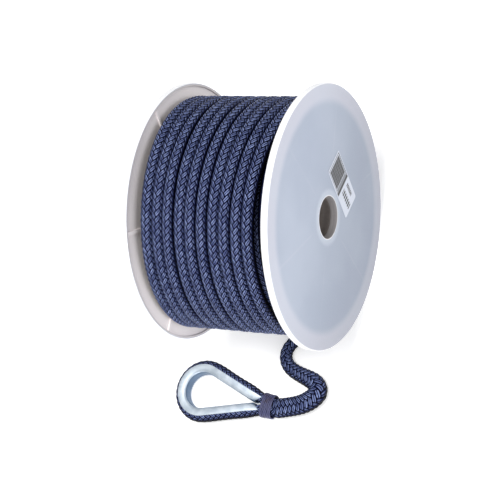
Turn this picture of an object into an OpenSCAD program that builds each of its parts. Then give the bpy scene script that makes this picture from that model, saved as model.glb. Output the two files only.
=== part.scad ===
// Reel of double-braided dock line with a thimble eye spliced in its outer end.
// Millimetres. The reel stands on its rims: X runs along its axle, Z is up,
// and the origin is on the floor under the middle of the reel.

/* [Reel] */
// Diameter of the two flanges
flange_d = 200; // [190:2:260]
// Width of the reel over both flanges
reel_w = 120; // [100:1:150]
// Thickness of a flange at its rim and along its ribs
flange_t = 5.25; // [4:0.25:8]
// Thickness of the thin web between the ribs
web_t = 4; // [2.5:0.25:4]
// Width of the bead round the rim
rim_bead_w = 2.2; // [1.5:0.1:6]
// Bevel on the edges of the rim
rim_bevel = 0.6; // [0.2:0.1:1]
// Number of ribs on the inner face of a flange
rib_count = 6; // [3:1:12]
// Width of a rib
rib_w = 2.4; // [1.2:0.1:5]
// Direction of the first rib of the front flange
front_rib_turn = 14; // [0:1:59]
// Direction of the first rib of the rear flange
rear_rib_turn = 59; // [0:1:59]
// Diameter of the hole for the axle
bore_d = 32; // [20:0.5:39]
// Depth of the flange's wall inside the axle hole
hub_t = 5.75; // [4.5:0.25:9]

/* [Core tube] */
// Outer diameter of the tube that the line is wound on
tube_d = 44; // [40:0.2:53]
// Height of the collar that holds an end of the tube
collar_h = 6; // [3:0.5:12]
// Wall of that collar
collar_wall = 2.4; // [1.5:0.1:4]
// Gap between the tube and its collar
collar_gap = 0.1; // [0.05:0.05:0.3]
// Bevel inside each end of the tube
tube_bevel = 0.6; // [0.2:0.1:1]

/* [Line] */
// Diameter of the line
line_d = 9.5; // [8:0.1:11.4]
// Number of layers on the reel
layer_count = 8; // [2:1:8]
// Step from one layer to the next
layer_step = 8.4; // [7:0.05:8.4]
// Wall of the braided cover
cover_wall = 1.4; // [0.8:0.1:2.2]
// Gap between the cover and the core inside it
core_gap = 0.1; // [0.05:0.05:0.3]

/* [Thimble eye] */
// Radius of the line's middle round the crown of the eye
eye_r = 21; // [18:0.5:27]
// Distance from the crown's centre to the throat
eye_reach = 55; // [50:1:60]
// Direction of the eye, seen from above
eye_turn = -6; // [-12:0.5:12]
// Thickness of the thimble's steel
thimble_wall = 1.4; // [1:0.1:2]
// Gap between the line and the thimble's groove
groove_gap = 0.15; // [0.1:0.05:0.4]
// Gap left between the tips of the thimble's two legs
tip_gap = 0.8; // [0.4:0.1:3]

/* [Whipping] */
// Length of the whipping along the line
whipping_l = 13.5; // [8:0.5:16]
// Thickness of the whipping twine
whipping_t = 1.2; // [0.6:0.1:1.4]
// Gap between the whipping and the line
whipping_gap = 0.1; // [0.05:0.05:0.2]

/* [Label] */
// Width of the sticker
label_w = 24; // [12:1:26]
// Length of the sticker
label_l = 49; // [30:1:54]
// Thickness of the sticker
label_t = 0.2; // [0.1:0.05:0.4]
// Direction of the sticker's long side
label_turn = 64.5; // [50:0.5:80]

/* [Hidden] */
$fn = 96;

plastic = [0.86, 0.88, 0.92];
board = [0.42, 0.40, 0.39];
navy = [0.16, 0.18, 0.34];
pale_core = [0.80, 0.80, 0.78];
steel = [0.86, 0.89, 0.92];
twine = [0.22, 0.20, 0.32];
paper = [0.95, 0.95, 0.96];

flange_r = flange_d / 2;
axle_z = flange_r;
half_w = reel_w / 2;
wall_x = half_w - flange_t;       // inner face of the rim bead and the ribs
tube_r = tube_d / 2;
bore_r = bore_d / 2;
tube_half = half_w - hub_t;
collar_in = tube_r + collar_gap;
collar_out = collar_in + collar_wall;
collar_x = tube_half - collar_h;
line_r = line_d / 2;
turn_r = tube_r + line_r + (layer_count - 1) * layer_step;  // middle of the outer layer's line
pack_r = turn_r + line_r;
inner_pack_r = turn_r - line_r;
collar_clear = 0.2;               // between the collars and the first layer

// Where the line leaves its last turn, under the reel and beside the front flange
exit_gap = 0.5;                   // between the leaving line and the flange
exit_x = wall_x - line_r - exit_gap;
pocket_back = exit_x - line_r - 3;
pocket_y = 30;
pocket_z = 30;

// The free tail, from the last turn to the splice's throat: place of its middle,
// and how much the splice swells its half width and half height
tail_route = [
    [49.5,    0,  14.4, 0,    0],    [49.5,  -12,  13.1, 0,    0],    [48,    -24,   9.9, 0,    0],
    [44,    -35,   6.8, 0,    0],    [36,    -46,   5,   0,    0],    [26,    -56,   4.8, 0.05, 0.05],
    [14,    -66,   4.8, 0.05, 0.05], [4,     -75,   4.9, 0.15, 0.15], [-1,    -84,   5,   0.25, 0.25],
    [0,     -91,   5.3, 0.55, 0.55], [5,     -97,   5.8, 1.05, 1.05], [14,   -101.5, 6.3, 1.55, 1.55],
    [24,   -105,   7,   2.25, 2.25], [31,   -109,   7.5, 2.75, 2.75], [33.5, -114.5, 7.8, 3.05, 3.05],
    [30,   -120.5, 8,   3.25, 3.25], [22,   -125.8, 8,   3.25, 3.25], [12,   -129,   7.9, 3.15, 3.15],
    [5,    -130.4, 7.2, 3.45, 2.45]
];

eye_at = [-68, -123.6];
groove_r = line_r + groove_gap;
channel_r = groove_r + thimble_wall;
eye_z = channel_r;                // the thimble lies on the floor
throat_half = line_r;             // the two legs of the eye lie side by side there
// Slope of a leg: its line touches the crown and ends beside its twin at the throat
leg_turn = asin(eye_r / norm([eye_reach, throat_half])) - atan(throat_half / eye_reach);
eye_inner_r = eye_r - channel_r;
leg_tip_u = (eye_inner_r - tip_gap / 2 * cos(leg_turn)) / sin(leg_turn);
leg_l = (leg_tip_u - eye_inner_r * sin(leg_turn)) / cos(leg_turn);
leg_lap = 0.05;                   // how far a leg runs into the crown, so that they join
throat_w = 2 * line_r - 0.2;
throat_h = line_r - 0.05;

function eye_point(u, w, z) =
    [eye_at[0] + u * cos(eye_turn) - w * sin(eye_turn),
     eye_at[1] + u * sin(eye_turn) + w * cos(eye_turn), z];

// The tail's last two rings lie inside the whipping
tail_rings = concat(
    [for (p = tail_route) [p[0], p[1], p[2], line_r + p[3], line_r + p[4]]],
    [concat(eye_point(eye_reach + whipping_l, 0, eye_z), [throat_w, throat_h]),
     concat(eye_point(eye_reach, 0, eye_z), [throat_w, throat_h])]);

// The eye: throat, first leg, crown, second leg, throat
crown_steps = 16;
leg_steps = 3;
function leg_point(k, side) = let(
        touch = [eye_r * sin(leg_turn), eye_r * cos(leg_turn)],
        end = [eye_reach - line_d, throat_half + line_d * tan(leg_turn)],
        u = end[0] + (touch[0] - end[0]) * k, w = end[1] + (touch[1] - end[1]) * k)
    eye_point(u, side * w, eye_z);
eye_path = concat(
    [eye_point(eye_reach, throat_half, eye_z), eye_point(eye_reach - line_r / 2, throat_half + 0.3, eye_z)],
    [for (i = [0 : leg_steps - 1]) leg_point(i / leg_steps, 1)],
    [for (i = [0 : crown_steps])
        let(a = 90 - leg_turn + i * (180 + 2 * leg_turn) / crown_steps)
        eye_point(eye_r * cos(a), eye_r * sin(a), eye_z)],
    [for (i = [leg_steps - 1 : -1 : 0]) leg_point(i / leg_steps, -1)],
    [eye_point(eye_reach - line_r / 2, -throat_half - 0.3, eye_z), eye_point(eye_reach, -throat_half, eye_z)]);
eye_rings = [for (p = eye_path) concat(p, [line_r, line_r])];

// Points of a swept line: each ring stands square to the way from its neighbours
sides = 12;
function unit(v) = v / norm(v);
function place(r) = [r[0], r[1], r[2]];
function heading(rings, i) = unit(
    place(rings[min(i + 1, len(rings) - 1)]) - place(rings[max(i - 1, 0)]));
function ring_points(rings, i, less) = let(
        t = heading(rings, i), across = unit(cross([0, 0, 1], t)), up = cross(t, across))
    [for (j = [0 : sides - 1]) let(a = j * 360 / sides - 90)
        place(rings[i]) + across * (rings[i][3] - less) * cos(a) + up * (rings[i][4] - less) * sin(a)];
function sweep_points(rings, less) =
    [for (i = [0 : len(rings) - 1]) for (p = ring_points(rings, i, less)) p];
function side_faces(count, start, flip) = [for (i = [0 : count - 2]) for (j = [0 : sides - 1])
    let(a = start + i * sides + j, b = start + i * sides + (j + 1) % sides,
        quad = [a, b, b + sides, a + sides])
    flip ? [quad[3], quad[2], quad[1], quad[0]] : quad];

module solid_line(rings, less = 0) {
    count = len(rings);
    last = (count - 1) * sides;
    polyhedron(
        points = sweep_points(rings, less),
        faces = concat(side_faces(count, 0, false),
            [[for (j = [sides - 1 : -1 : 0]) j], [for (j = [0 : sides - 1]) last + j]]),
        convexity = 6);
}

module hollow_line(rings, wall) {
    count = len(rings);
    inner = count * sides;
    last = (count - 1) * sides;
    ends = [for (j = [0 : sides - 1]) let(k = (j + 1) % sides)
        each [[k, j, inner + j, inner + k],
              [last + j, last + k, inner + last + k, inner + last + j]]];
    polyhedron(
        points = concat(sweep_points(rings, 0), sweep_points(rings, wall)),
        faces = concat(side_faces(count, 0, false), side_faces(count, inner, true), ends),
        convexity = 8);
}

// Turns a profile of [radius, x] round the axle
module turned(points) {
    translate([0, 0, axle_z]) rotate([0, 90, 0]) rotate_extrude() polygon(points);
}

// One flange, built with its outer face at +half_w
module flange(rib_turn) {
    web_x = half_w - web_t;
    turned([
        [bore_r, half_w], [flange_r - rim_bevel, half_w], [flange_r, half_w - rim_bevel],
        [flange_r, wall_x + rim_bevel], [flange_r - rim_bevel, wall_x],
        [flange_r - rim_bead_w, wall_x], [flange_r - rim_bead_w, web_x],
        [collar_out, web_x], [collar_out, collar_x], [collar_in, collar_x],
        [collar_in, tube_half], [bore_r, tube_half]]);
    for (i = [0 : rib_count - 1])
        translate([0, 0, axle_z]) rotate([rib_turn + i * 360 / rib_count, 0, 0])
            translate([wall_x, collar_out - 0.5, -rib_w / 2])
                cube([web_x - wall_x + 0.5, flange_r - rim_bead_w - collar_out + 1, rib_w]);
}

module front_flange() {
    color(plastic) flange(front_rib_turn);
}

module rear_flange() {
    color(plastic) mirror([1, 0, 0]) flange(rear_rib_turn);
}

module core_tube() {
    color(board) turned([
        [bore_r + tube_bevel, -tube_half], [tube_r, -tube_half], [tube_r, tube_half],
        [bore_r + tube_bevel, tube_half], [bore_r, tube_half - tube_bevel],
        [bore_r, tube_bevel - tube_half]]);
}

// All the layers under the outer one, fitted round the collars
module rope_inner_layers() {
    step_r = collar_out + collar_clear;
    step_x = collar_x - collar_clear;
    color(navy) turned([
        [tube_r, -step_x], [step_r, -step_x], [step_r, -wall_x], [inner_pack_r, -wall_x],
        [inner_pack_r, wall_x], [step_r, wall_x], [step_r, step_x], [tube_r, step_x]]);
}

// The outer layer, open under the front flange where its last turn leaves
module rope_outer_layer() {
    color(navy) difference() {
        turned([[inner_pack_r, -wall_x], [pack_r, -wall_x], [pack_r, wall_x], [inner_pack_r, wall_x]]);
        translate([pocket_back, -pocket_y, axle_z - pack_r - 1])
            cube([wall_x - pocket_back + 1, pocket_y, pocket_z]);
    }
}

module rope_tail() {
    color(navy) hollow_line(tail_rings, cover_wall);
}

// The braided core, and the end that the splice buries beside it
module splice_core() {
    color(pale_core) solid_line(tail_rings, cover_wall + core_gap);
}

module rope_eye() {
    color(navy) solid_line(eye_rings);
}

// Half-round channel that opens away from the middle of the eye, at radius eye_r
channel_steps = 12;
function channel_arc(r, from, to) = [for (i = [0 : channel_steps])
    let(a = from + (to - from) * i / channel_steps) [eye_r + r * cos(a), r * sin(a)]];
module channel_profile() {
    polygon(concat(channel_arc(channel_r, 90, 270), channel_arc(groove_r, 270, 90)));
}

// A straight leg, running along -Y from the crown's end on the X axis
module thimble_leg() {
    translate([0, leg_lap, 0]) rotate([90, 0, 0])
        linear_extrude(height = leg_l + leg_lap) channel_profile();
}

module thimble() {
    sweep = 180 + 2 * leg_turn;
    color(steel) translate([eye_at[0], eye_at[1], eye_z]) rotate([0, 0, eye_turn]) {
        rotate([0, 0, 90 - leg_turn]) rotate_extrude(angle = sweep) channel_profile();
        rotate([0, 0, 90 - leg_turn]) thimble_leg();
        rotate([0, 0, leg_turn - 90]) mirror([0, 1, 0]) thimble_leg();
    }
}

// Outline of the two legs of the eye side by side, grown by a margin
module throat_outline(grow) {
    r = line_r + grow;
    square([2 * throat_half, 2 * r], center = true);
    for (side = [-1, 1]) translate([side * throat_half, 0]) circle(r);
}

module whipping() {
    color(twine) translate([eye_at[0], eye_at[1], eye_z]) rotate([0, 0, eye_turn])
        translate([eye_reach, 0, 0]) rotate([90, 0, 90]) linear_extrude(height = whipping_l)
            difference() {
                throat_outline(whipping_gap + whipping_t);
                throat_outline(whipping_gap);
            }
}

// Sticker on the front flange, clear of the axle hole
module label() {
    label_y = 31;
    label_z = -13;
    color(paper) translate([half_w, label_y, axle_z + label_z]) rotate([label_turn, 0, 0])
        translate([0, -label_l / 2, -label_w / 2]) cube([label_t, label_l, label_w]);
}

front_flange();
rear_flange();
core_tube();
rope_inner_layers();
rope_outer_layer();
rope_tail();
splice_core();
rope_eye();
thimble();
whipping();
label();
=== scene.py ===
import math
import bpy
import numpy as np
from mathutils import Matrix, Vector


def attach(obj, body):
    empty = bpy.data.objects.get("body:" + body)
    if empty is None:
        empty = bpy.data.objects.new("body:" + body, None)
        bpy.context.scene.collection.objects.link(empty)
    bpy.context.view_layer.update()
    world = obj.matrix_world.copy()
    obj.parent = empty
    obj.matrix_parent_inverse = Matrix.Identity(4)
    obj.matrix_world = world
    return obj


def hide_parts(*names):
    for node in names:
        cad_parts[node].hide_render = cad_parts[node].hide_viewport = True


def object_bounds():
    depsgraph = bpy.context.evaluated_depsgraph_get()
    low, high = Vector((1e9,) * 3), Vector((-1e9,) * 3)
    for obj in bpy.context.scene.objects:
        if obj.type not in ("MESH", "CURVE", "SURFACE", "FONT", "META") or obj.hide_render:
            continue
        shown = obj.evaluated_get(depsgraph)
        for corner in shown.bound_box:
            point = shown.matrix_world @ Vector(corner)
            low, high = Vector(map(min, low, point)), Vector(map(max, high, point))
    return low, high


# Reel of navy double-braided dock line with a thimble eye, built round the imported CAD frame.
# Sizes are in metres. X runs along the reel's axle and Z is up.

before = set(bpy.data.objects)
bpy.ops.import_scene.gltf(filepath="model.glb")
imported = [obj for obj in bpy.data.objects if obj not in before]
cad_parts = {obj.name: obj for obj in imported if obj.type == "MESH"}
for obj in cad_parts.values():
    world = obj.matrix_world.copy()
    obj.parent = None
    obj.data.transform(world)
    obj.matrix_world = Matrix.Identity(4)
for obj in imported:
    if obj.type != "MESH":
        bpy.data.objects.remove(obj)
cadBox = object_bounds()
mm = 0.001
print("frame loaded,", len(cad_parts), "CAD nodes")


# Floor, soft lights and camera
studio = {
    "cameraPlace": (0.5321, -0.3145, 1.0678),
    "cameraAim": (-0.00015, -0.02875, 0.1),
    "cameraRoll": -54.43,  # degrees about the line of sight
    "lens": 108.07,
    "floorSize": 24.0,
    "worldStrength": 0.33,
    "floorGlow": 0.5,
}
softboxes = [  # place, aim, width, power, colour
    ((0.12, -0.06, 1.50), (0.0, 0.0, 0.1), 0.55, 17.0, (1.0, 0.99, 0.97)),
    ((0.10, -1.25, 0.35), (0.0, -0.05, 0.08), 0.50, 4.0, (1.0, 1.0, 1.0)),
    ((1.30, -0.45, 0.75), (0.05, 0.0, 0.1), 0.80, 5.5, (0.94, 0.97, 1.0)),
]


def buildStage():
    bpy.ops.object.select_all(action="DESELECT")
    bpy.ops.mesh.primitive_plane_add(size=studio["floorSize"])
    floor = bpy.context.object
    floor.name = "studioFloor"
    paper = bpy.data.materials.new("paleFloor")
    paper.use_nodes = True
    paper.node_tree.nodes["Principled BSDF"].inputs["Base Color"].default_value = (0.93, 0.93, 0.93, 1)
    paper.node_tree.nodes["Principled BSDF"].inputs["Roughness"].default_value = 0.9
    paper.node_tree.nodes["Principled BSDF"].inputs["Emission Color"].default_value = (1, 1, 1, 1)
    paper.node_tree.nodes["Principled BSDF"].inputs["Emission Strength"].default_value = studio["floorGlow"]
    floor.data.materials.append(paper)
    world = bpy.data.worlds.new("studioWorld")
    world.use_nodes = True
    world.node_tree.nodes["Background"].inputs["Color"].default_value = (1, 1, 1, 1)
    world.node_tree.nodes["Background"].inputs["Strength"].default_value = studio["worldStrength"]
    bpy.context.scene.world = world
    for place, aim, width, power, colour in softboxes:
        bpy.ops.object.light_add(type="AREA", location=place)
        lamp = bpy.context.object
        lamp.data.size = width
        lamp.data.energy = power
        lamp.data.color = colour
        lamp.rotation_euler = (Vector(aim) - Vector(place)).to_track_quat("-Z", "Y").to_euler()


def buildCamera():
    lens = bpy.data.cameras.new("studioCamera")
    lens.lens = studio["lens"]
    lens.sensor_width = 36
    lens.clip_start = 0.05
    camera = bpy.data.objects.new("studioCamera", lens)
    bpy.context.scene.collection.objects.link(camera)
    sight = Vector(studio["cameraAim"]) - Vector(studio["cameraPlace"])
    turn = sight.to_track_quat("-Z", "Y").to_matrix().to_4x4()
    roll = Matrix.Rotation(math.radians(studio["cameraRoll"]), 4, "Z")
    camera.matrix_world = Matrix.Translation(studio["cameraPlace"]) @ turn @ roll
    bpy.context.scene.camera = camera
    bpy.context.scene.view_settings.view_transform = "Standard"


buildStage()
buildCamera()
print("stage and camera ready")


# The line and where it is wound
line = {
    "diameter": 9.5 * mm,
    "strands": 8,  # laid each way round the cover
    "crossing": 4.65 * mm,  # length of one crossing along the line
    "relief": 0.30 * mm,  # how far a strand stands up and dips
    "waist": 4.55 * mm,  # mean radius of the cover
    "steepness": 1.35,  # how quickly a strand rises from a dip
    "roundness": 1.6,  # how far a strand falls off to its edges
    "crownPlace": 1.25,  # strand widths from the map's edge to the line's outermost side
    "swollenCrossing": 3.3 * mm,  # length of one crossing where the splice is thickest
    "axleHeight": 100 * mm,
    "firstRadius": 26.75 * mm,
    "layerStep": 8.4 * mm,
    "innerTurns": [9, 11, 11, 11, 11, 11, 11],
    "innerSide": [43.2, 49.8, 49.8, 49.8, 49.8, 49.8, 49.8],  # how far from the middle each layer goes, mm
    "climb": 0.4,  # share of a turn in which the line climbs to the next layer
    "outerTurns": 10,
    "outerStart": -50.0 * mm,
    "outerEnd": 49.5 * mm,
    "innerSides": 8,
    "innerRadius": 4.7 * mm,  # of the plain layers under the outer one
}
wander = {  # where the turns of the outer layer lie
    # share of a turn, place in the first turn and pitch, mm
    "knots": [(0.283, -48.9, 9.5), (0.45, -45.8, 9.27), (0.622, -48.4, 10.2)],
    "unevenness": 0.3,  # mm
    "lift": 0.12,  # mm
}
# The free tail: place of its middle and its half width and half height, mm
tailRoute = [
    (49.5, 0, 14.4, 4.75, 4.75), (49.5, -12, 13.1, 4.75, 4.75), (48, -24, 9.9, 4.75, 4.75),
    (44, -35, 6.8, 4.75, 4.75), (36, -46, 5, 4.75, 4.75), (26, -56, 4.8, 4.8, 4.8),
    (14, -66, 4.8, 4.8, 4.8), (4, -75, 4.9, 4.9, 4.9), (-1, -84, 5, 5, 5),
    (0, -91, 5.3, 5.3, 5.3), (5, -97, 5.8, 5.8, 5.8), (14, -101.5, 6.3, 6.3, 6.3),
    (24, -105, 7, 7, 7), (31, -109, 7.5, 7.5, 7.5), (33.5, -114.5, 7.8, 7.8, 7.8),
    (30, -120.5, 8, 8, 8), (22, -125.8, 8, 8, 8), (12, -129, 7.9, 7.9, 7.9),
    (5, -130.4, 7.2, 8.0, 7.2),
]
eye = {
    "middle": (-68.0, -123.6),  # centre of the crown, mm
    "turn": -6.0,
    "radius": 21.0,
    "reach": 55.0,
    "height": 6.3,
    "halfThroat": 4.75,
}


def eyePoint(along, across, height=None):
    turn = math.radians(eye["turn"])
    x = eye["middle"][0] + along * math.cos(turn) - across * math.sin(turn)
    y = eye["middle"][1] + along * math.sin(turn) + across * math.cos(turn)
    return (x, y, eye["height"] if height is None else height)


def legTurn():
    reach = math.hypot(eye["reach"], eye["halfThroat"])
    return math.asin(eye["radius"] / reach) - math.atan(eye["halfThroat"] / eye["reach"])


def smoothPath(points, spacing):
    # Natural cubic through rows of numbers, stepped evenly along the first three columns
    points = np.array(points, float)
    gaps = np.linalg.norm(np.diff(points[:, :3], axis=0), axis=1)
    knots = np.concatenate([[0], np.cumsum(gaps)])
    count = len(points)
    matrix = np.eye(count)
    right = np.zeros((count, points.shape[1]))
    for i in range(1, count - 1):
        before, after = gaps[i - 1], gaps[i]
        matrix[i, i - 1:i + 2] = before, 2 * (before + after), after
        right[i] = 6 * ((points[i + 1] - points[i]) / after - (points[i] - points[i - 1]) / before)
    bend = np.linalg.solve(matrix, right)

    def at(distance):
        i = np.clip(np.searchsorted(knots, distance, side="right") - 1, 0, count - 2)
        size = gaps[i][:, None]
        back = (distance - knots[i])[:, None]
        ahead = size - back
        return (bend[i] * ahead ** 3 + bend[i + 1] * back ** 3) / (6 * size) \
            + (points[i] / size - bend[i] * size / 6) * ahead \
            + (points[i + 1] / size - bend[i + 1] * size / 6) * back

    fine = at(np.linspace(0, knots[-1], 20 * count))
    run = np.concatenate([[0], np.cumsum(np.linalg.norm(np.diff(fine[:, :3], axis=0), axis=1))])
    wanted = np.linspace(0, run[-1], max(2, round(run[-1] / spacing) + 1))
    return np.stack([np.interp(wanted, run, fine[:, k]) for k in range(points.shape[1])], axis=1)


def coilPoints(turns, radii, places):
    # turns counts from the bottom of the reel, where the free tail leaves
    angle = math.radians(270) - 2 * math.pi * turns
    return np.stack([places, radii * np.cos(angle), line["axleHeight"] + radii * np.sin(angle)], axis=1)


def outerRoute(turns):
    # Where the line lies across the outer layer at a number of turns
    knots = [(0.0, line["outerStart"] / mm)]
    for k in range(line["outerTurns"]):
        uneven = wander["unevenness"] * math.sin(2.4 * k + 0.7)
        knots += [(k + share, first + pitch * k + uneven) for share, first, pitch in wander["knots"]]
    knots.append((float(line["outerTurns"]), line["outerEnd"] / mm))
    flat = smoothPath([(100 * s, x, 0) for s, x in knots], 0.5)
    places = np.interp(turns, flat[:, 0] / 100, flat[:, 1]) * mm
    radius = line["firstRadius"] + len(line["innerTurns"]) * line["layerStep"]
    turns = np.asarray(turns)
    radii = radius + wander["lift"] * mm * np.sin(5.3 * turns) * np.sin(0.31 * turns) ** 2
    return coilPoints(turns, radii, places)


def innerRoute(perTurn):
    # All the layers under the outer one, to and fro across the reel
    rows = []
    start = 0
    total = sum(line["innerTurns"])
    for k, count in enumerate(line["innerTurns"]):
        radius = line["firstRadius"] + k * line["layerStep"]
        side = line["innerSide"][k] * mm
        nextSide = line["innerSide"][min(k + 1, len(line["innerSide"]) - 1)] * mm
        direction = 1 if k % 2 else -1
        steps = count * perTurn
        for i in range(steps):
            done = i / steps
            climb = max(0.0, 1 - (1 - done) * count / line["climb"])
            climb = climb * climb * (3 - 2 * climb)
            x = direction * (-side + 2 * side * done) + direction * climb * (nextSide - side)
            rows.append((start + count * done - total, radius + climb * line["layerStep"], x))
        start += count
    outerRadius = line["firstRadius"] + len(line["innerTurns"]) * line["layerStep"]
    rows.append((0.0, outerRadius, line["outerStart"]))
    rows = np.array(rows)
    return coilPoints(rows[:, 0], rows[:, 1], rows[:, 2])


def lineFrames(centres, outward):
    # Ahead, out and side directions at each centre; outward is one guide per centre or the first one only
    ahead = np.gradient(centres, axis=0)
    ahead /= np.linalg.norm(ahead, axis=1)[:, None]
    out = np.zeros_like(centres)
    if len(outward) == len(centres):
        out = outward - ahead * np.sum(outward * ahead, axis=1)[:, None]
    else:
        guide = np.array(outward[0], float)
        for i, direction in enumerate(ahead):
            guide = guide - direction * guide.dot(direction)
            guide /= np.linalg.norm(guide)
            out[i] = guide
    out /= np.linalg.norm(out, axis=1)[:, None]
    return ahead, out, np.cross(ahead, out)


def braidHeight(a, b):
    # Height of the cover, from the strands of both lays; each passes over two and under two
    def strand(across, along):
        lift = np.clip(line["steepness"] * np.cos(math.pi * (along - 1) / 2), -1, 1)
        return lift - line["roundness"] * (2 * (across % 1) - 1) ** 2

    layers = [strand(a, edge + b) for edge in (np.floor(a), np.ceil(a) - 1)]
    layers += [strand(b, edge + a - 2) for edge in (np.floor(b), np.ceil(b) - 1)]
    return np.max(layers, axis=0)


def meshFrom(name, points, quads, loops=None):
    mesh = bpy.data.meshes.new(name)
    mesh.from_pydata([], [], [])
    mesh.vertices.add(len(points))
    mesh.vertices.foreach_set("co", np.asarray(points, np.float32).ravel())
    mesh.loops.add(quads.size)
    mesh.loops.foreach_set("vertex_index", quads.astype(np.int32).ravel())
    mesh.polygons.add(len(quads))
    mesh.polygons.foreach_set("loop_start", np.arange(0, quads.size, 4, dtype=np.int32))
    mesh.polygons.foreach_set("loop_total", np.full(len(quads), 4, dtype=np.int32))
    if loops is not None:
        layer = mesh.uv_layers.new(name="braidMap")
        layer.uv.foreach_set("vector", np.asarray(loops, np.float32).ravel())
    mesh.update(calc_edges=True)
    mesh.validate()
    mesh.polygons.foreach_set("use_smooth", np.ones(len(mesh.polygons), bool))
    piece = bpy.data.objects.new(name, mesh)
    bpy.context.scene.collection.objects.link(piece)
    return piece


def braidedLine(name, centres, outward, halfWide, halfHigh, lay, fineness, phase=0.0):
    # Cover of braided strands: diamonds that follow the strands, fineness of them to each crossing
    rows = len(centres)
    around = line["strands"] * fineness
    ahead, out, side = lineFrames(centres, outward)
    row = np.arange(rows)[:, None]
    step = 2 * np.arange(around)[None, :] + row % 2
    turnUnits = step / (2 * fineness)
    layUnits = np.broadcast_to(lay[:, None], turnUnits.shape)
    height = line["relief"] * braidHeight(turnUnits + layUnits, turnUnits - layUnits)
    spin = (turnUnits - line["crownPlace"]) * 2 * math.pi / line["strands"] + phase
    high = (halfHigh[:, None] + height) * np.cos(spin)
    wide = (halfWide[:, None] + height) * np.sin(spin)
    points = centres[:, None, :] + high[..., None] * out[:, None, :] + wide[..., None] * side[:, None, :]
    m = np.arange(rows - 2)[:, None]
    k = np.arange(around)[None, :]
    odd = m % 2
    right = (m + 1) * around + (k + odd) % around
    left = (m + 1) * around + (k - 1 + odd) % around
    quads = np.stack([m * around + k, right, (m + 2) * around + k, left], axis=2).reshape(-1, 4)
    n = 2 * k + odd
    u = np.stack([n + 0 * m, n + 1 + 0 * m, n + 0 * m, n - 1 + 0 * m], axis=2) / (2 * fineness)
    v = np.stack([lay[m + 0 * k], lay[m + 1 + 0 * k], lay[m + 2 + 0 * k], lay[m + 1 + 0 * k]], axis=2)
    uv = np.stack([u, v], axis=3).reshape(-1, 2)
    points = points.reshape(-1, 3)
    caps, capUv, extra = lineCaps(centres, ahead, rows, around, halfHigh)
    return meshFrom(name, np.concatenate([points, extra]), np.concatenate([quads, caps]),
                    np.concatenate([uv, capUv]))


def lineCaps(centres, ahead, rows, around, halfHigh):
    # Rounded closing of both ends: the zigzag edge runs to one middle point
    extra = np.array([centres[0] - ahead[0] * halfHigh[0] * 0.15,
                      centres[-1] + ahead[-1] * halfHigh[-1] * 0.15])
    first, last = rows * around, rows * around + 1
    quads = []
    for k in range(around):
        after = (k + 1) % around
        quads.append([first, after, around + k, k])
    base, top = (rows - 2) * around, (rows - 1) * around
    odd = (rows - 2) % 2
    for k in range(around):
        here = base + k
        after = base + (k + 1) % around
        between = top + (k + odd) % around
        quads.append([last, here, between, after])
    quads = np.array(quads)
    return quads, np.zeros((quads.size, 2)), extra


def plainTube(name, centres, outward, radius, sides):
    out, side = lineFrames(centres, outward)[1:]
    angle = 2 * math.pi * np.arange(sides) / sides
    ring = out[:, None, :] * np.cos(angle)[None, :, None] + side[:, None, :] * np.sin(angle)[None, :, None]
    points = (centres[:, None, :] + radius * ring).reshape(-1, 3)
    m = np.arange(len(centres) - 1)[:, None]
    k = np.arange(sides)[None, :]
    after = (k + 1) % sides
    quads = np.stack([m * sides + k, m * sides + after, (m + 1) * sides + after, (m + 1) * sides + k],
                     axis=2).reshape(-1, 4)
    run = np.concatenate([[0], np.cumsum(np.linalg.norm(np.diff(centres, axis=0), axis=1))])
    scale = line["strands"] / sides
    u = np.stack([k + 0 * m, k + 1 + 0 * m, k + 1 + 0 * m, k + 0 * m], axis=2) * scale
    v = np.stack([run[m + 0 * k], run[m + 0 * k], run[m + 1 + 0 * k], run[m + 1 + 0 * k]], axis=2)
    uv = np.stack([u, v / line["crossing"]], axis=3).reshape(-1, 2)
    return meshFrom(name, points, quads, uv)


def runLength(points):
    return float(np.sum(np.linalg.norm(np.diff(points, axis=0), axis=1)))


def radialGuide(centres):
    guide = centres - np.array([0, 0, line["axleHeight"]])
    guide[:, 0] = 0
    return guide / np.linalg.norm(guide, axis=1)[:, None]


def buildInnerLayers():
    centres = innerRoute(48)
    piece = plainTube("ropeInnerLayers", centres, radialGuide(centres), line["innerRadius"],
                      line["innerSides"])
    closeEnds(piece)
    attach(piece, "root")
    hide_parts("rope_inner_layers")
    return piece


def buildOuterLayer():
    fineness = 2
    length = runLength(outerRoute(np.linspace(0, line["outerTurns"], 2000)))
    rows = round(length / line["crossing"] * 2 * fineness)
    turns = np.linspace(0, line["outerTurns"], rows)
    centres = outerRoute(turns)
    lay = np.arange(rows) / (2 * fineness)
    waist = np.full(rows, line["waist"])
    slowTwist = 0.10 * np.sin(2.1 * turns) + 0.08 * np.sin(0.9 * turns + 1)
    piece = braidedLine("ropeOuterLayer", centres, radialGuide(centres), waist, waist, lay, fineness,
                        slowTwist[:, None])
    path = outerRoute(np.linspace(0, line["outerTurns"], 48 * line["outerTurns"] + 1))
    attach(piece, "root")
    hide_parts("rope_outer_layer")
    return piece


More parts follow.
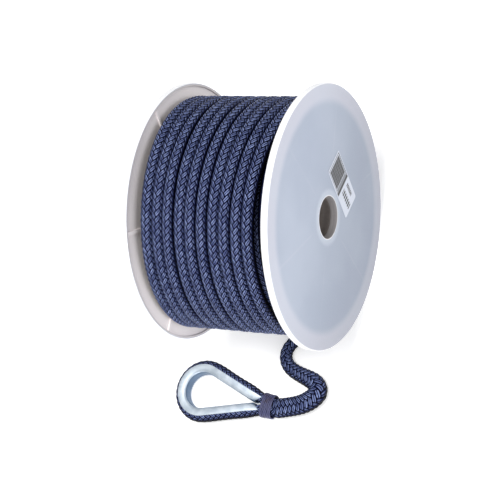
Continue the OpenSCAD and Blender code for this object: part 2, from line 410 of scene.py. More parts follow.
def tailAndEyeRoute():
    # Tail, throat, first leg, crown, second leg and back into the throat
    rows = list(tailRoute)
    half = eye["halfThroat"]
    rows.append((*eyePoint(eye["reach"] + 13.5, 0), 8.0, 5.2))
    rows.append((*eyePoint(eye["reach"] + 7, 2.0), 6.6, 4.9))
    rows.append((*eyePoint(eye["reach"], half - 0.3), half - 0.3, half))
    lean = legTurn()
    touch = (eye["radius"] * math.sin(lean), eye["radius"] * math.cos(lean))
    legStart = (eye["reach"] - 9.5, half + 9.5 * math.tan(lean))

    def legPoint(share, side):
        along = legStart[0] + (touch[0] - legStart[0]) * share
        across = legStart[1] + (touch[1] - legStart[1]) * share
        return (*eyePoint(along, side * across), half, half)

    rows += [legPoint(share, 1) for share in (0, 0.33, 0.67)]
    steps = 10
    for i in range(steps + 1):
        angle = math.pi / 2 - lean + i * (math.pi + 2 * lean) / steps
        along, across = eye["radius"] * math.cos(angle), eye["radius"] * math.sin(angle)
        rows.append((*eyePoint(along, across), half, half))
    rows += [legPoint(share, -1) for share in (0.67, 0.33, 0)]
    rows.append((*eyePoint(eye["reach"], 0.3 - half), half - 0.3, half))
    rows.append((*eyePoint(eye["reach"] + 6, -3.9), 4.0, 4.3))
    return np.array(rows) * mm


def buildTail():
    fineness = 4
    rough = smoothPath(tailAndEyeRoute(), 0.2 * mm)
    spread = (rough[:, 3] + rough[:, 4]) / 2
    crossing = np.interp(spread, [4.75 * mm, 8 * mm], [line["crossing"], line["swollenCrossing"]])
    gaps = np.linalg.norm(np.diff(rough[:, :3], axis=0), axis=1)
    units = np.concatenate([[0], np.cumsum(gaps / crossing[1:])])
    lay = np.arange(0, units[-1], 0.5 / fineness)
    rows = np.stack([np.interp(lay, units, rough[:, k]) for k in range(5)], axis=1)
    share = 2 * line["waist"] / line["diameter"]  # the strands stand up from there
    piece = braidedLine("ropeTail", rows[:, :3], [(0, 0, 1)], rows[:, 3] * share, rows[:, 4] * share,
                        lay, fineness)
    path = smoothPath(tailAndEyeRoute(), 3 * mm)[:, :3]
    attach(piece, "root")
    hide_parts("rope_tail", "rope_eye")
    return piece, path


def buildSpliceCore():
    # The braided core and the buried end, inside the tail's cover
    wall = 1.7
    rows = [(x, y, z, wide - wall, high - wall) for x, y, z, wide, high in tailRoute]
    rows.append((*eyePoint(eye["reach"] + 13.5, 0), 5.6, 3.0))
    rows.append((*eyePoint(eye["reach"] + 7, 0.4), 4.4, 2.8))
    rows = smoothPath(np.array(rows) * mm, line["crossing"] / 4)
    piece = braidedLine("spliceCore", rows[:, :3], [(0, 0, 1)], rows[:, 3], rows[:, 4],
                        np.arange(len(rows)) / 4, 2)
    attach(piece, "root")
    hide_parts("splice_core")
    return piece


# Twine wound round the throat of the eye
whipping = {
    "from": 55.9,  # along the eye's axis, mm
    "to": 66.2,
    "turns": 9.0,
    "twine": 1.2,  # diameter
    "halfWide": (9.0, 8.5),  # inside the twine, at both ends
    "halfHigh": (5.0, 5.15),
    "squareness": 0.78,
    "lobes": 3,
    "twist": 5.5,  # length of one twist of the twine, mm
    "meanRadius": 7.6,
    "step": 0.35,  # length of one piece of the twine's mesh, mm
}


def buildWhipping():
    step = whipping["step"]
    girth = 2 * math.pi * whipping["meanRadius"]
    rows = round(whipping["turns"] * girth / step)
    share = np.linspace(0, 1, rows)
    angle = 2 * math.pi * whipping["turns"] * share - math.pi / 2
    half = whipping["twine"] / 2
    wide = np.interp(share, [0, 1], whipping["halfWide"]) + half + 0.12 * np.sin(9 * share)
    high = np.interp(share, [0, 1], whipping["halfHigh"]) + half
    tuck = np.clip(np.minimum(share, 1 - share) * 40, 0, 1)  # both ends dive under the turns
    power = whipping["squareness"]
    across = wide * np.sign(np.cos(angle)) * np.abs(np.cos(angle)) ** power * (0.93 + 0.07 * tuck)
    up = high * np.sign(np.sin(angle)) * np.abs(np.sin(angle)) ** power * (0.86 + 0.14 * tuck)
    along = whipping["from"] + (whipping["to"] - whipping["from"]) * share + 0.1 * np.sin(angle * 1.3)
    centres = np.array([eyePoint(u, w, eye["height"] + z) for u, w, z in zip(along, across, up)]) * mm
    out, side = lineFrames(centres, centres - np.array([eyePoint(u, 0) for u in along]) * mm)[1:]
    sides = 12
    around = 2 * math.pi * np.arange(sides) / sides
    run = np.arange(rows) * step
    twist = 2 * math.pi * run[:, None] / whipping["twist"] / 3
    lobe = np.cos(whipping["lobes"] * (around[None, :] - twist))
    radius = half * (0.9 + 0.1 * lobe) * mm
    points = centres[:, None, :] + radius[..., None] * (
        out[:, None, :] * np.cos(around)[None, :, None] + side[:, None, :] * np.sin(around)[None, :, None])
    m = np.arange(rows - 1)[:, None]
    k = np.arange(sides)[None, :]
    after = (k + 1) % sides
    quads = np.stack([m * sides + k, m * sides + after, (m + 1) * sides + after, (m + 1) * sides + k],
                     axis=2).reshape(-1, 4)
    u = np.stack([k + 0 * m, k + 1 + 0 * m, k + 1 + 0 * m, k + 0 * m], axis=2) / sides
    v = np.stack([m + 0 * k, m + 0 * k, m + 1 + 0 * k, m + 1 + 0 * k], axis=2) * step / whipping["twist"]
    piece = meshFrom("whippingTwine", points.reshape(-1, 3), quads, np.stack([u, v], axis=3).reshape(-1, 2))
    closeEnds(piece)
    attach(piece, "root")
    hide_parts("whipping")
    return piece


def editing(piece):
    bpy.ops.object.select_all(action="DESELECT")
    bpy.context.view_layer.objects.active = piece
    piece.select_set(True)
    bpy.ops.object.mode_set(mode="EDIT")


def closeEnds(piece):
    # Caps the open rings of a tube
    editing(piece)
    bpy.ops.mesh.select_mode(type="EDGE")
    bpy.ops.mesh.select_all(action="DESELECT")
    bpy.ops.mesh.select_non_manifold()
    bpy.ops.mesh.edge_face_add()
    bpy.ops.object.mode_set(mode="OBJECT")


def pick(piece, test):
    # Selects the points of a mesh that pass a test, ready for edit-mode operators
    bpy.ops.object.mode_set(mode="OBJECT")
    for face in piece.data.polygons:
        face.select = False
    for edge in piece.data.edges:
        edge.select = False
    for point in piece.data.vertices:
        point.select = bool(test(point.co))
    bpy.ops.object.mode_set(mode="EDIT")
    bpy.ops.mesh.select_mode(type="VERT")


def applyAll(piece):
    bpy.ops.object.select_all(action="DESELECT")
    bpy.context.view_layer.objects.active = piece
    piece.select_set(True)
    for modifier in list(piece.modifiers):
        bpy.ops.object.modifier_apply(modifier=modifier.name)


# Open steel channel that lines the eye
thimble = {
    "profile": [(0.5, 5.75), (-1.6, 5.7), (-3.4, 5.6), (-4.6, 5.3), (-5.4, 4.7), (-5.8, 3.7), (-5.9, 2.0),
                (-5.9, 0.0)],  # outwards from the line's middle and up, half of it, mm
    "steel": 1.15,
    "crownSteps": 48,
    "leg": 40.0,
    "tip": 6.0,
    "tipSqueeze": 0.72,  # share of its height that the channel keeps at the tips
    "slant": 4.5,
    "lipBevel": 0.25,
}


def buildThimble():
    half = thimble["profile"]
    shape = half + [(out, -up) for out, up in reversed(half[:-1])]
    lean = legTurn()
    start = math.pi / 2 - lean
    bpy.ops.object.select_all(action="DESELECT")
    bpy.ops.mesh.primitive_circle_add(vertices=len(shape), radius=1)
    piece = bpy.context.object
    piece.name = "thimbleSteel"
    for point, (out, up) in zip(piece.data.vertices, shape):
        radius = eye["radius"] + out
        point.co = (radius * math.cos(start), radius * math.sin(start), up)
    editing(piece)
    bpy.ops.mesh.select_mode(type="EDGE")
    bpy.ops.mesh.select_all(action="DESELECT")
    bpy.ops.object.mode_set(mode="OBJECT")
    top, bottom = half[0][1], -half[0][1]
    for edge in piece.data.edges:
        heights = sorted(piece.data.vertices[i].co.z for i in edge.vertices)
        edge.select = heights[0] == bottom and heights[1] == top
    bpy.ops.object.mode_set(mode="EDIT")
    bpy.ops.mesh.delete(type="EDGE")
    bpy.ops.mesh.select_all(action="SELECT")
    bpy.ops.mesh.spin(steps=thimble["crownSteps"], angle=math.pi + 2 * lean,
                      center=(0, 0, 0), axis=(0, 0, -1))
    bpy.ops.object.mode_set(mode="OBJECT")
    for side in (1, -1):
        ahead = Vector((math.cos(lean), -side * math.sin(lean), 0))
        foot = Vector((math.cos(start), side * math.sin(start), 0))
        pick(piece, lambda co: abs(co.x * ahead.x + co.y * ahead.y) < 0.01 and co.y * side > 0)
        bpy.ops.mesh.extrude_edges_move(TRANSFORM_OT_translate={"value": ahead * thimble["leg"]})
        bpy.ops.mesh.extrude_edges_move(TRANSFORM_OT_translate={"value": ahead * thimble["tip"]})
        middle = foot * (eye["radius"] - 1.5) + ahead * (thimble["leg"] + thimble["tip"])
        bpy.ops.transform.resize(value=(1, 1, thimble["tipSqueeze"]), center_override=middle)
    bpy.ops.object.mode_set(mode="OBJECT")
    end = thimble["leg"] + thimble["tip"]
    depth = -half[-1][0]
    for point in piece.data.vertices:  # cut the tips slantwise, longest at the lips
        side = 1 if point.co.y > 0 else -1
        ahead = Vector((math.cos(lean), -side * math.sin(lean), 0))
        out = point.co.dot(Vector((math.cos(start), side * math.sin(start), 0))) - eye["radius"]
        if point.co.dot(ahead) > end - 0.1:
            point.co += ahead * thimble["slant"] * (out + depth) / depth
    bpy.ops.object.mode_set(mode="EDIT")
    bpy.ops.mesh.select_all(action="SELECT")
    bpy.ops.mesh.remove_doubles(threshold=0.001)
    bpy.ops.mesh.normals_make_consistent(inside=False)
    bpy.ops.object.mode_set(mode="OBJECT")
    wall = piece.modifiers.new("steel", "SOLIDIFY")
    wall.thickness = thimble["steel"]
    wall.offset = 0
    lip = piece.modifiers.new("lip", "BEVEL")
    lip.width = thimble["lipBevel"]
    lip.segments = 2
    lip.limit_method = "ANGLE"
    lip.angle_limit = math.radians(50)
    applyAll(piece)
    piece.scale = (mm, mm, mm)
    piece.rotation_euler = (0, 0, math.radians(eye["turn"]))
    piece.location = Vector(eyePoint(0, 0)) * mm
    bpy.ops.object.transform_apply(location=True, rotation=True, scale=True)
    bpy.ops.object.shade_smooth_by_angle(angle=math.radians(40))
    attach(piece, "root")
    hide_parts("thimble")
    return piece


# Sticker on the front flange
sticker = {
    "middle": (31.0, -13.0),  # y, and z above the axle, mm
    "turn": 64.5,
    "length": 49.0,
    "width": 24.0,
    "thickness": 0.18,
    "corner": 1.6,
    "border": 0.35,
}


def buildSticker():
    bpy.ops.object.select_all(action="DESELECT")
    bpy.ops.mesh.primitive_plane_add(size=1)
    piece = bpy.context.object
    piece.name = "stickerPaper"
    piece.scale = (sticker["width"], sticker["length"], 1)
    bpy.ops.object.transform_apply(location=False, rotation=False, scale=True)
    editing(piece)
    bpy.ops.mesh.select_mode(type="VERT")
    bpy.ops.mesh.select_all(action="SELECT")
    bpy.ops.mesh.bevel(offset=sticker["corner"], segments=6, affect="VERTICES")
    bpy.ops.mesh.select_all(action="SELECT")
    bpy.ops.mesh.inset(thickness=sticker["border"])
    bpy.ops.object.mode_set(mode="OBJECT")
    paper = piece.modifiers.new("paper", "SOLIDIFY")
    paper.thickness = sticker["thickness"]
    paper.offset = -1
    applyAll(piece)
    face = cadBox[1][0]
    y, z = sticker["middle"]
    turn = math.radians(sticker["turn"])
    long = Vector((0, math.cos(turn), math.sin(turn)))
    wide = long.cross(Vector((1, 0, 0)))
    place = Matrix((wide, long, (1, 0, 0))).transposed().to_4x4()
    place.translation = Vector((face / mm, y, z + line["axleHeight"] / mm))
    piece.matrix_world = Matrix.Scale(mm, 4) @ place
    bpy.ops.object.transform_apply(location=True, rotation=True, scale=True)
    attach(piece, "root")
    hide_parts("label")
    return piece


innerLayers = buildInnerLayers()
outerLayer = buildOuterLayer()
tail, tailPath = buildTail()
spliceCore = buildSpliceCore()
twine = buildWhipping()
thimblePiece = buildThimble()
stickerPiece = buildSticker()
faces = [round(len(piece.data.polygons) / 1000) for piece in (innerLayers, outerLayer, tail)]
print("line laid:", faces, "thousand faces")


def add(tree, kind, *values, out=0, **settings):
    # One node with its values or links in the order of its sockets; gives back one output
    node = tree.nodes.new("ShaderNode" + kind)
    for name, value in settings.items():
        setattr(node, name, value)
    for socket, value in zip(node.inputs, values):
        if isinstance(value, bpy.types.NodeSocket):
            tree.links.new(value, socket)
        elif value is not None:
            socket.default_value = value
    return node.outputs[out]


def calc(tree, operation, *values):
    return add(tree, "Math", *values, operation=operation)


def fade(tree, value, low, high, fromLow=0.0, toHigh=1.0):
    # Smooth change from fromLow to toHigh while the value goes from low to high
    return add(tree, "MapRange", value, low, high, fromLow, toHigh, interpolation_type="SMOOTHSTEP")


def blendColour(tree, share, first, second):
    node = tree.nodes.new("ShaderNodeMix")
    node.data_type = "RGBA"
    for socket, value in ((node.inputs[0], share), (node.inputs[6], first), (node.inputs[7], second)):
        if isinstance(value, bpy.types.NodeSocket):
            tree.links.new(value, socket)
        else:
            socket.default_value = value
    return node.outputs[2]


def tint(red, green, blue):
    # Display colour, 0 to 255, as the linear colour that shaders take
    parts = [c / 255 for c in (red, green, blue)]
    return tuple(c / 12.92 if c <= 0.04045 else ((c + 0.055) / 1.055) ** 2.4 for c in parts) + (1.0,)


def newGroup(name, inputs, outputs):
    group = bpy.data.node_groups.new(name, "ShaderNodeTree")
    for title, kind, value in inputs:
        socket = group.interface.new_socket(title, in_out="INPUT", socket_type="NodeSocket" + kind)
        if value is not None:
            socket.default_value = value
    for title, kind in outputs:
        group.interface.new_socket(title, in_out="OUTPUT", socket_type="NodeSocket" + kind)
    return group, group.nodes.new("NodeGroupInput").outputs, group.nodes.new("NodeGroupOutput").inputs


def useGroup(tree, group, **values):
    node = tree.nodes.new("ShaderNodeGroup")
    node.node_tree = group
    for title, value in values.items():
        if isinstance(value, bpy.types.NodeSocket):
            tree.links.new(value, node.inputs[title])
        else:
            node.inputs[title].default_value = value
    return node.outputs


def newMaterial(name, colour, **constants):
    material = bpy.data.materials.new(name)
    material.use_nodes = True
    material.diffuse_color = colour
    shader = material.node_tree.nodes["Principled BSDF"]
    shader.inputs["Base Color"].default_value = colour
    for title, value in constants.items():
        shader.inputs[title].default_value = value
    return material, material.node_tree, shader


def braidWeave():
    # The crossing strands of a braid, from a map with strands across and crossings along
    group, given, result = newGroup(
        "braidWeave", [("Map", "Vector", None)],
        [("Height", "Float"), ("Yarn", "Float"), ("Tone", "Float"), ("Fibre", "Float")])
    split = group.nodes.new("ShaderNodeSeparateXYZ")
    group.links.new(given["Map"], split.inputs[0])
    a = calc(group, "ADD", split.outputs[0], split.outputs[1])
    b = calc(group, "SUBTRACT", split.outputs[0], split.outputs[1])

    def strand(across, other, shift):
        along = calc(group, "ADD", calc(group, "FLOOR", across), calc(group, "ADD", other, shift))
        wave = calc(group, "COSINE", calc(group, "MULTIPLY", along, math.pi / 2))
        steep = calc(group, "MULTIPLY", wave, line["steepness"])
        lift = calc(group, "MAXIMUM", calc(group, "MINIMUM", steep, 1.0), -1.0)
        edge = calc(group, "MULTIPLY_ADD", calc(group, "FRACT", across), 2.0, -1.0)
        fall = calc(group, "MULTIPLY", calc(group, "MULTIPLY", edge, edge), line["roundness"])
        return calc(group, "SUBTRACT", lift, fall)

    rising = strand(a, b, -1.0)
    falling = strand(b, a, -3.0)
    risingTop = calc(group, "GREATER_THAN", rising, falling)
    across = add(group, "Mix", risingTop, None, calc(group, "FRACT", b), calc(group, "FRACT", a))
    along = add(group, "Mix", risingTop, None, a, b)
    strandNumber = add(group, "Mix", risingTop, None, calc(group, "ADD", calc(group, "FLOOR", b), 57.0),
                       calc(group, "FLOOR", a))
    number = calc(group, "FLOORED_MODULO", strandNumber, float(line["strands"]))
    yarn = calc(group, "ABSOLUTE", calc(group, "SINE", calc(group, "MULTIPLY", across, 2 * math.pi)))
    place = add(group, "CombineXYZ", calc(group, "MULTIPLY", across, 9.0),
                calc(group, "MULTIPLY", along, 0.8), calc(group, "MULTIPLY", number, 5.3))
    fibre = add(group, "TexNoise", place, None, 1.6, 3.0)
    cell = add(group, "CombineXYZ", calc(group, "FLOOR", a), calc(group, "FLOOR", b), number)
    tone = add(group, "TexWhiteNoise", cell)
    for title, value in (("Height", calc(group, "MAXIMUM", rising, falling)), ("Yarn", yarn),
                         ("Tone", tone), ("Fibre", fibre)):
        group.links.new(value, result[title])
    return group


ropeLook = {
    # dip colour: painted shade in the dips between strands and between yarns
    "groove": tint(0, 0, 8),
    "strand": tint(16, 28, 84),
    # light colour: a painted highlight on the crests of the strands
    "paintedHighlight": tint(178, 196, 250),
    # side: how dark the painted shade on the sides of each turn gets
    "side": 0.03,
}
# Core braid: its dip colour, light colour and side are painted shade, painted highlight and painted side
# shade, as for the navy braid
coreLook = {"groove": tint(120, 120, 118), "strand": tint(214, 214, 210), "paintedHighlight": tint(240, 240, 238),
            "side": 0.8}


def braidMaterial(name, weave, look):
    material, tree, shader = newMaterial(name, look["strand"])
    shader.inputs["Specular IOR Level"].default_value = 0.07
    uv = add(tree, "UVMap", uv_map="braidMap")
    parts = useGroup(tree, weave, Map=uv)
    # Painted shade: the strands' edges and the split between the two yarns of each strand are darkened
    top = fade(tree, parts["Height"], -0.5, 0.5)
    yarn = fade(tree, parts["Yarn"], 0.12, 0.9, 0.05, 1.0)
    split = tree.nodes.new("ShaderNodeSeparateXYZ")
    tree.links.new(uv, split.inputs[0])
    spin = calc(tree, "MULTIPLY", calc(tree, "SUBTRACT", split.outputs[0], line["crownPlace"]),
                2 * math.pi / line["strands"])
    crown = fade(tree, calc(tree, "COSINE", spin), 0.05, 0.8, look["side"], 1.0)  # painted shade on the sides of each turn, where turns touch
    lit = calc(tree, "MULTIPLY", calc(tree, "MULTIPLY", top, yarn), crown)
    colour = blendColour(tree, lit, look["groove"], look["strand"])
    # Painted highlight: the crests get the light colour, patchy by fibre and strand
    fibre = fade(tree, parts["Fibre"], 0.36, 0.60, 0.3, 1.0)
    shine = calc(tree, "MULTIPLY", fade(tree, lit, 0.4, 1.0), fibre)
    shine = calc(tree, "MULTIPLY", shine, fade(tree, parts["Tone"], 0.0, 1.0, 0.3, 0.62))
    colour = blendColour(tree, shine, colour, look["paintedHighlight"])
    tree.links.new(colour, shader.inputs["Base Color"])
    tree.links.new(fade(tree, parts["Fibre"], 0.2, 0.8, 0.36, 0.6), shader.inputs["Roughness"])
    relief = calc(tree, "MULTIPLY_ADD", parts["Yarn"], 0.9, calc(tree, "MULTIPLY", parts["Height"], 0.9))
    relief = calc(tree, "MULTIPLY_ADD", parts["Fibre"], 0.35, relief)
    tree.links.new(add(tree, "Bump", 1.0, 0.00028, None, relief), shader.inputs["Normal"])
    return material


plasticLook = {
    "packed": tint(162, 171, 189),  # where the wound line shows through
    "clear": tint(190, 192, 205),
    "rim": tint(250, 250, 252),
    "halo": tint(192, 200, 213),
    "inner": tint(250, 243, 243),  # warmer on the side that faces the line
    # grey of the painted shade on the bore wall and of the painted shadow line at the rim lip
    "paintedShadeGrey": tint(168, 164, 165),
    "shadow": tint(56, 60, 70),
    "edgeRadius": 86.5 * mm,
    "edgeSoftness": 4.0 * mm,
    "boreRadius": 16 * mm,
    "haloWidth": 7 * mm,
    "ribWidth": 1.4 * mm,
    "innerSide": 56.0 * mm,  # how far from the middle the side that faces the line ends
    "outerSide": 56.8 * mm,
    "lipRadius": 97.0 * mm,
    "cornerRadius": 99.0 * mm,
}


def mouldedPlastic(axleHeight):
    # Milky plastic with the imported line and the ribs faintly showing through, and painted shade in the
    # bore, along the rim lip and low on the front face, from Object coordinates
    group, given, result = newGroup(
        "mouldedPlastic", [("First Rib", "Float", 0.0)], [("Colour", "Color"), ("Grain", "Float")])
    place = group.nodes.new("ShaderNodeTexCoord").outputs["Object"]
    centred = add(group, "Mapping", place, (0, 0, -axleHeight))
    split = group.nodes.new("ShaderNodeSeparateXYZ")
    group.links.new(centred, split.inputs[0])
    y, z = split.outputs[1], split.outputs[2]
    square = calc(group, "MULTIPLY_ADD", y, y, calc(group, "MULTIPLY", z, z))
    radius = calc(group, "SQRT", square)
    soft = add(group, "TexNoise", centred, None, 26.0, 2.0)
    wavy = calc(group, "MULTIPLY_ADD", soft, 3.0 * mm, calc(group, "SUBTRACT", radius, 1.5 * mm))
    low = plasticLook["edgeRadius"] - plasticLook["edgeSoftness"]
    high = plasticLook["edgeRadius"] + plasticLook["edgeSoftness"]
    outside = fade(group, wavy, low, high)
    colour = blendColour(group, outside, plasticLook["packed"], plasticLook["clear"])
    bore = plasticLook["boreRadius"]
    corner = plasticLook["cornerRadius"]
    colour = blendColour(group, fade(group, radius, corner, corner + 0.6 * mm), colour, plasticLook["rim"])
    haloWidth = plasticLook["haloWidth"]
    halo = fade(group, radius, bore + 0.4 * haloWidth, bore + haloWidth, 0.7, 0.0)
    colour = blendColour(group, halo, colour, plasticLook["halo"])
    blotch = fade(group, add(group, "TexNoise", centred, None, 14.0, 3.0), 0.35, 0.7, 0.0, 0.30)
    colour = blendColour(group, blotch, colour, plasticLook["halo"])
    depth = calc(group, "ABSOLUTE", split.outputs[0])
    ring = fade(group, radius, bore + 0.4 * mm, bore + 1.1 * mm, 0.75, 0.0)
    colour = blendColour(group, ring, colour, plasticLook["rim"])
    innerSide, outerSide = plasticLook["innerSide"], plasticLook["outerSide"]
    inside = calc(group, "MULTIPLY", fade(group, depth, innerSide, outerSide, 1.0, 0.0),
                  fade(group, radius, corner - 0.6 * mm, corner + 0.2 * mm, 1.0, 0.0))
    colour = blendColour(group, inside, colour, plasticLook["inner"])
    # A thin painted shadow line along the rim lip, on the side that faces the line
    lipRadius = plasticLook["lipRadius"]
    lip = calc(group, "MULTIPLY", inside, fade(group, radius, lipRadius, lipRadius + 0.6 * mm))
    colour = blendColour(group, calc(group, "MULTIPLY", lip, 0.45), colour, plasticLook["paintedShadeGrey"])
    # Painted shade on the bore wall
    shaded = fade(group, radius, bore + 0.1 * mm, bore + 0.3 * mm, 1.0, 0.0)
    colour = blendColour(group, shaded, colour, plasticLook["paintedShadeGrey"])
    angle = calc(group, "ARCTAN2", z, y)
    sector = calc(group, "SUBTRACT", calc(group, "MULTIPLY", angle, 3 / math.pi),
                  calc(group, "DIVIDE", given["First Rib"], 60.0))
    off = calc(group, "MULTIPLY", calc(group, "PINGPONG", sector, 0.5), math.pi / 3)
    distance = calc(group, "MULTIPLY", radius, calc(group, "SINE", off))
    rib = fade(group, distance, 0.2 * plasticLook["ribWidth"], plasticLook["ribWidth"], 0.20, 0.0)
    rib = calc(group, "MULTIPLY", rib, fade(group, radius, 24 * mm, 34 * mm))
    rib = calc(group, "MULTIPLY", rib, calc(group, "GREATER_THAN", depth, outerSide))
    rib = calc(group, "MULTIPLY", rib, fade(group, blotch, 0.02, 0.22, 0.25, 1.0))
    colour = blendColour(group, rib, colour, plasticLook["clear"])
    # Painted shade: the front face is darker low down
    front = calc(group, "GREATER_THAN", split.outputs[0], outerSide)
    paintedLowShade = fade(group, calc(group, "MULTIPLY_ADD", y, -0.1, z), -85 * mm, 70 * mm, 0.34, 0.0)
    colour = blendColour(group, calc(group, "MULTIPLY", front, paintedLowShade), colour, plasticLook["shadow"])
    group.links.new(colour, result["Colour"])
    group.links.new(add(group, "TexNoise", centred, None, 900.0, 2.0), result["Grain"])
    return group


def plasticMaterial(name, group, firstRib):
    material, tree, shader = newMaterial(name, plasticLook["packed"])
    shader.inputs["Specular IOR Level"].default_value = 0.2
    parts = useGroup(tree, group, **{"First Rib": firstRib})
    tree.links.new(parts["Colour"], shader.inputs["Base Color"])
    tree.links.new(fade(tree, parts["Grain"], 0.3, 0.7, 0.34, 0.46), shader.inputs["Roughness"])
    tree.links.new(add(tree, "Bump", 0.15, 0.0001, None, parts["Grain"]), shader.inputs["Normal"])
    return material


def steelMaterial():
    # Zinc-coated steel with a soft, slightly uneven shine, and painted shade on the walls below the top
    # face
    material, tree, shader = newMaterial("zincSteel", tint(222, 231, 240))
    shader.inputs["Metallic"].default_value = 0.55
    place = add(tree, "TexCoord", out=3)
    cloud = add(tree, "TexNoise", place, None, 160.0, 3.0)
    fine = add(tree, "TexNoise", place, None, 1500.0, 2.0)
    colour = blendColour(tree, fade(tree, cloud, 0.35, 0.65), tint(196, 209, 222), tint(214, 224, 234))
    split = tree.nodes.new("ShaderNodeSeparateXYZ")
    tree.links.new(place, split.inputs[0])
    face = fade(tree, split.outputs[2], 10.6 * mm, 11.4 * mm)  # painted shade on the walls below it
    colour = blendColour(tree, face, tint(96, 118, 144), colour)
    tree.links.new(colour, shader.inputs["Base Color"])
    tree.links.new(fade(tree, cloud, 0.3, 0.7, 0.42, 0.58), shader.inputs["Roughness"])
    tree.links.new(add(tree, "Bump", 0.25, 0.0001, None, fine), shader.inputs["Normal"])
    return material


def twineMaterial():
    material, tree, shader = newMaterial("waxedTwine", tint(66, 64, 96))
    shader.inputs["Specular IOR Level"].default_value = 0.4
    uv = add(tree, "UVMap", uv_map="braidMap")
    split = tree.nodes.new("ShaderNodeSeparateXYZ")
    tree.links.new(uv, split.inputs[0])
    spiral = calc(tree, "SUBTRACT", calc(tree, "MULTIPLY", split.outputs[0], 3.0), split.outputs[1])
    ridge = calc(tree, "ABSOLUTE", calc(tree, "SINE", calc(tree, "MULTIPLY", spiral, math.pi)))
    place = add(tree, "TexCoord", out=3)
    patch = fade(tree, add(tree, "TexNoise", place, None, 130.0, 2.0), 0.52, 0.66)
    colour = blendColour(tree, patch, tint(88, 90, 128), tint(78, 70, 88))
    colour = blendColour(tree, fade(tree, ridge, 0.0, 0.6), tint(22, 20, 40), colour)
    tree.links.new(colour, shader.inputs["Base Color"])
    tree.links.new(fade(tree, patch, 0.0, 1.0, 0.45, 0.62), shader.inputs["Roughness"])
    tree.links.new(add(tree, "Bump", 0.8, 0.00015, None, ridge), shader.inputs["Normal"])
    return material


def tubeMaterial():
    # Spiral-wound fibre tube
    material, tree, shader = newMaterial("fibreTube", tint(96, 91, 91))
    place = add(tree, "TexCoord", out=3)
    cloud = add(tree, "TexNoise", place, None, 300.0, 4.0)
    band = add(tree, "TexWave", place, 9.0, 1.5, bands_direction="X")
    colour = blendColour(tree, cloud, tint(128, 120, 116), tint(160, 151, 146))
    colour = blendColour(tree, fade(tree, band, 0.9, 1.0, 0.0, 0.4), colour, tint(96, 90, 88))
    tree.links.new(colour, shader.inputs["Base Color"])
    tree.links.new(fade(tree, cloud, 0.3, 0.7, 0.7, 0.9), shader.inputs["Roughness"])
    tree.links.new(add(tree, "Bump", 0.3, 0.0002, None, cloud), shader.inputs["Normal"])
    return material


def within(tree, value, low, high, soft=0.006):
    return calc(tree, "MULTIPLY", fade(tree, value, low - soft, low + soft),
                fade(tree, value, high - soft, high + soft, 1.0, 0.0))


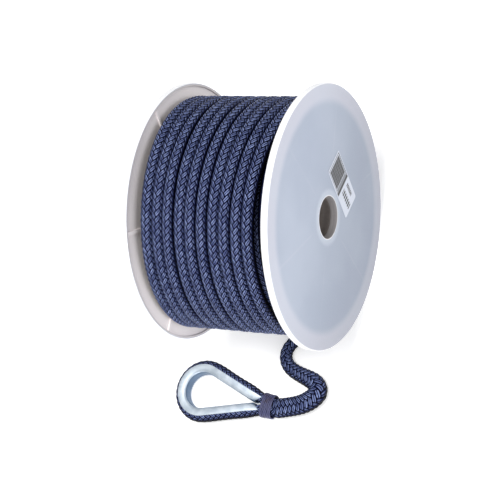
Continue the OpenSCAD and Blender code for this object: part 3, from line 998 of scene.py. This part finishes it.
def stickerMaterial():
    # White paper with plain printed bars and dashes that say nothing
    material, tree, shader = newMaterial("stickerPrint", tint(236, 237, 242))
    y, z = sticker["middle"]
    place = add(tree, "TexCoord", out=3)
    flat = add(tree, "Mapping", place, (0, -y * mm, -z * mm - line["axleHeight"]))
    flat = add(tree, "VectorRotate", flat, None, (1, 0, 0), math.radians(sticker["turn"]),
               rotation_type="X_AXIS", invert=True)
    split = tree.nodes.new("ShaderNodeSeparateXYZ")
    tree.links.new(flat, split.inputs[0])
    along = calc(tree, "MULTIPLY_ADD", split.outputs[1], -1 / (sticker["length"] * mm), 0.5)
    across = calc(tree, "MULTIPLY_ADD", split.outputs[2], 1 / (sticker["width"] * mm), 0.5)
    ink = []
    wave = calc(tree, "ADD", calc(tree, "SINE", calc(tree, "MULTIPLY", across, 83.0)),
                calc(tree, "SINE", calc(tree, "MULTIPLY", across, 131.0)))
    bars = calc(tree, "MULTIPLY", fade(tree, wave, -0.9, -0.3, 0.72, 1.0), within(tree, along, 0.06, 0.42))
    ink.append(calc(tree, "MULTIPLY", bars, within(tree, across, 0.10, 0.90)))
    ink.append(calc(tree, "MULTIPLY", calc(tree, "MULTIPLY", within(tree, along, 0.43, 0.49), 0.7),
                    within(tree, across, 0.10, 0.90)))
    ink.append(calc(tree, "MULTIPLY", within(tree, along, 0.49, 0.545), within(tree, across, 0.04, 0.96)))
    dots = fade(tree, calc(tree, "SINE", calc(tree, "MULTIPLY", along, 108.0)), -0.7, -0.1)
    ink.append(calc(tree, "MULTIPLY", calc(tree, "MULTIPLY", dots, within(tree, across, 0.47, 0.70)),
                    within(tree, along, 0.60, 0.95)))
    small = fade(tree, calc(tree, "SINE", calc(tree, "MULTIPLY", along, 170.0)), -0.6, 0.0, 0.2, 1.0)
    ink.append(calc(tree, "MULTIPLY", calc(tree, "MULTIPLY", small, within(tree, across, 0.16, 0.30)),
                    within(tree, along, 0.62, 0.86)))
    ink.append(calc(tree, "MULTIPLY", calc(tree, "MULTIPLY", small, within(tree, across, 0.03, 0.07)),
                    within(tree, along, 0.03, 0.55)))
    edge = calc(tree, "MAXIMUM", within(tree, across, 0.055, 0.075), within(tree, across, 0.925, 0.945))
    edge = calc(tree, "MULTIPLY", edge, within(tree, along, 0.03, 0.50))
    ink.append(calc(tree, "MAXIMUM", edge, calc(tree, "MULTIPLY", within(tree, along, 0.028, 0.040),
                                                within(tree, across, 0.055, 0.945))))
    total = ink[0]
    for part in ink[1:]:
        total = calc(tree, "MAXIMUM", total, part)
    colour = blendColour(tree, total, tint(192, 197, 210), tint(14, 14, 20))
    tree.links.new(colour, shader.inputs["Base Color"])
    grain = add(tree, "TexNoise", place, None, 2500.0, 2.0)
    tree.links.new(fade(tree, grain, 0.3, 0.7, 0.40, 0.55), shader.inputs["Roughness"])
    tree.links.new(add(tree, "Bump", 0.1, 0.00005, None, grain), shader.inputs["Normal"])
    return material


def dress(piece, material):
    piece.data.materials.clear()
    piece.data.materials.append(material)


weave = braidWeave()
navyBraid = braidMaterial("navyBraid", weave, ropeLook)
for piece in (innerLayers, outerLayer, tail):
    dress(piece, navyBraid)
dress(spliceCore, braidMaterial("coreBraid", weave, coreLook))
plasticGroup = mouldedPlastic(line["axleHeight"])
frontPlastic = plasticMaterial("frontPlastic", plasticGroup, 14.0)
rearPlastic = plasticMaterial("rearPlastic", plasticGroup, 59.0)
for node, material in (("front_flange", frontPlastic), ("rear_flange", rearPlastic)):
    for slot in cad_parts[node].material_slots:
        slot.material = material
dress(thimblePiece, steelMaterial())
dress(twine, twineMaterial())
dress(stickerPiece, stickerMaterial())
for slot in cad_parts["core_tube"].material_slots:
    slot.material = tubeMaterial()
print("finishes ready")
